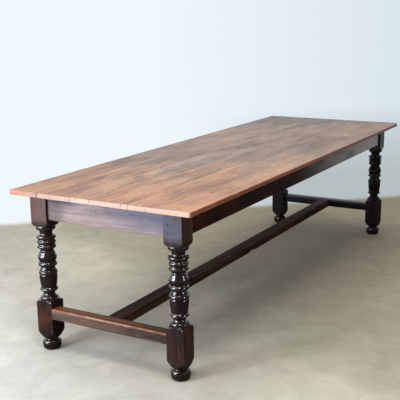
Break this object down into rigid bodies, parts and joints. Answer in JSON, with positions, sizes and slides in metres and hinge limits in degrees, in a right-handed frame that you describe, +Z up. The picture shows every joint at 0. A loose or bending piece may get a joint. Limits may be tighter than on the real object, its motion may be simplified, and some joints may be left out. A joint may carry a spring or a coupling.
{
  "type": "farmhouse table",
  "caption": "Long farmhouse dining table: plank top on turned legs with square blocks and bun feet, pegged aprons and low rails set out as an H.",
  "frame": {"origin": "on the floor under the middle of the top", "axes": "+X along the table's length, +Y across it towards the back edge, +Z up"},
  "size_m": [2.76, 0.926, 0.76],
  "materials": {
    "waxed_top": "waxed walnut planks, satin, worn",
    "dark_base": "dark stained and polished oak",
    "dark_rail": "dark stained oak, foot-worn arrises",
    "raw_oak": "old unpolished oak under the top",
    "peg_oak": "end grain of dark oak pegs",
    "screw_steel": "dulled steel"
  },
  "bodies": {
    "root": {"top_board_1": "waxed_top", "top_board_2": "waxed_top", "top_board_3": "waxed_top", "top_board_4": "waxed_top", "top_board_5": "waxed_top", "top_tongue_1": "raw_oak", "top_tongue_2": "raw_oak", "top_tongue_3": "raw_oak", "top_tongue_4": "raw_oak", "leg_front_left": "dark_base", "leg_front_right": "dark_base", "leg_back_right": "dark_base", "leg_back_left": "dark_base", "apron_front": "dark_base", "apron_back": "dark_base", "apron_left_end": "dark_base", "apron_right_end": "dark_base", "stretcher_left_end": "dark_rail", "stretcher_right_end": "dark_rail", "stretcher_long": "dark_rail", "bearer_left": "raw_oak", "bearer_middle": "raw_oak", "bearer_right": "raw_oak", "end_apron_pegs": "peg_oak", "side_apron_pegs": "peg_oak", "stretcher_pegs": "peg_oak", "long_stretcher_pegs": "peg_oak", "top_buttons": "raw_oak", "button_screws": "screw_steel", "bearer_screws": "screw_steel"}
  },
  "joints": []
}
